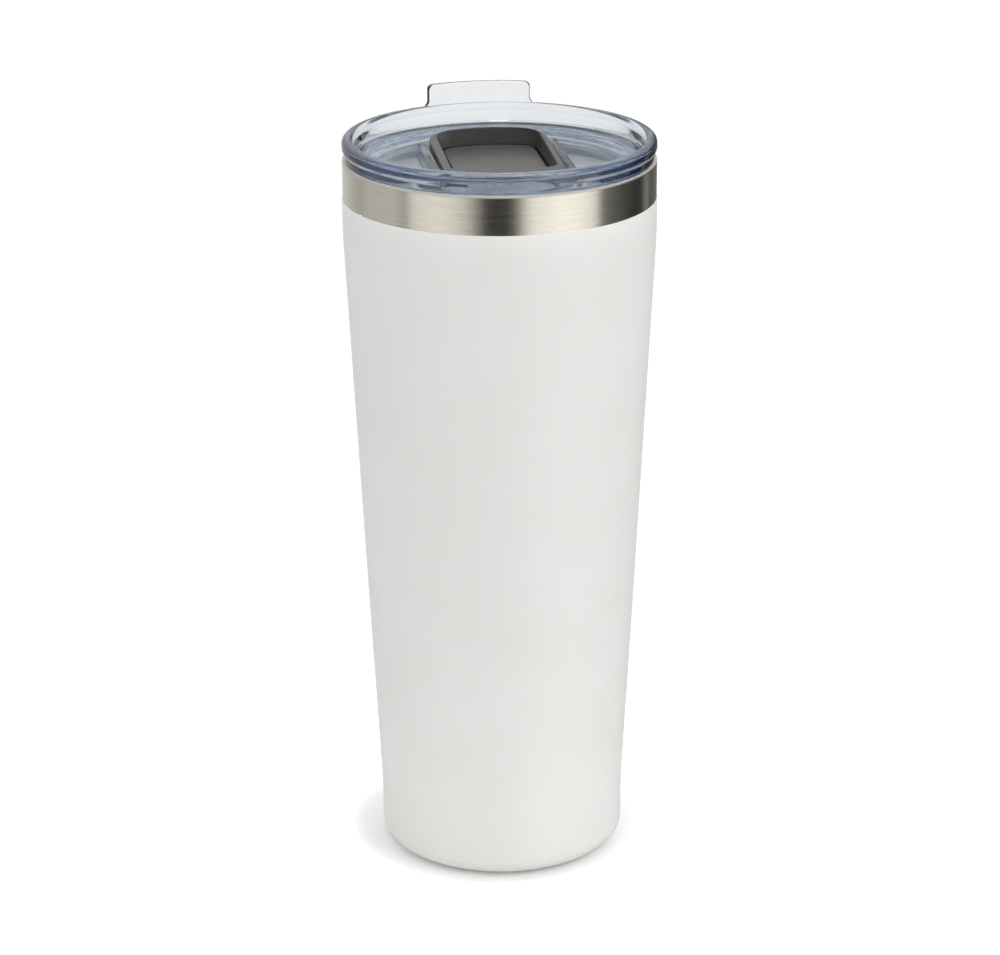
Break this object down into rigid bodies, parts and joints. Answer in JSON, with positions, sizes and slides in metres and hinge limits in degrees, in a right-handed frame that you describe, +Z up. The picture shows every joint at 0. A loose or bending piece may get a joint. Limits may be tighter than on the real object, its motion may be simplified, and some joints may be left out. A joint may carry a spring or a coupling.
{
  "type": "insulated tumbler with lid",
  "caption": "Tapered double-wall steel tumbler with a white coat, a bare steel band, a clear press-in lid with a lifting tab and a dark sliding closure.",
  "frame": {"origin": "centre of the underside of the foot, on the surface that the tumbler stands on", "axes": "+Z up along the cup's axis; +Y towards the lid's lifting tab; -Y is the side you drink from; +X to the right when the drinking side faces the viewer"},
  "size_m": [0.0882, 0.0882, 0.2183],
  "materials": {
    "brushed_steel": "brushed round the band",
    "white_coat": "satin powder coat with a fine orange peel",
    "liner_steel": "electropolished satin",
    "plain_steel": "rolled",
    "copper": "bright copper foil",
    "seal_glass": "fired glass solder",
    "getter_metal": "pressed powder",
    "foot_silicone": "matt silicone",
    "clear_plastic": "clear moulded plastic with a slight blue-grey tint",
    "clear_silicone": "translucent silicone",
    "dark_plastic": "smoky dark plastic, satin"
  },
  "bodies": {
    "cup": {"outer_shell": "brushed_steel", "powder_coat": "white_coat", "inner_liner": "liner_steel", "liner_bottom": "liner_steel", "copper_foil": "copper", "base_plate": "plain_steel", "vacuum_seal": "seal_glass", "getter": "getter_metal", "getter_clip": "plain_steel", "base_cover": "plain_steel", "foot_pad": "foot_silicone"},
    "lid": {"lid_body": "clear_plastic", "lid_gasket": "clear_silicone"},
    "slider": {"slider": "dark_plastic", "slider_seal": "clear_silicone"}
  },
  "joints": [
    {"name": "lid_lift", "type": "slide", "parent": "cup", "child": "lid", "axis": [0, 0, 1], "range_m": [0, 0.03]},
    {"name": "slider_slide", "type": "slide", "parent": "lid", "child": "slider", "axis": [0, -1, 0], "range_m": [0, 0.013]}
  ]
}
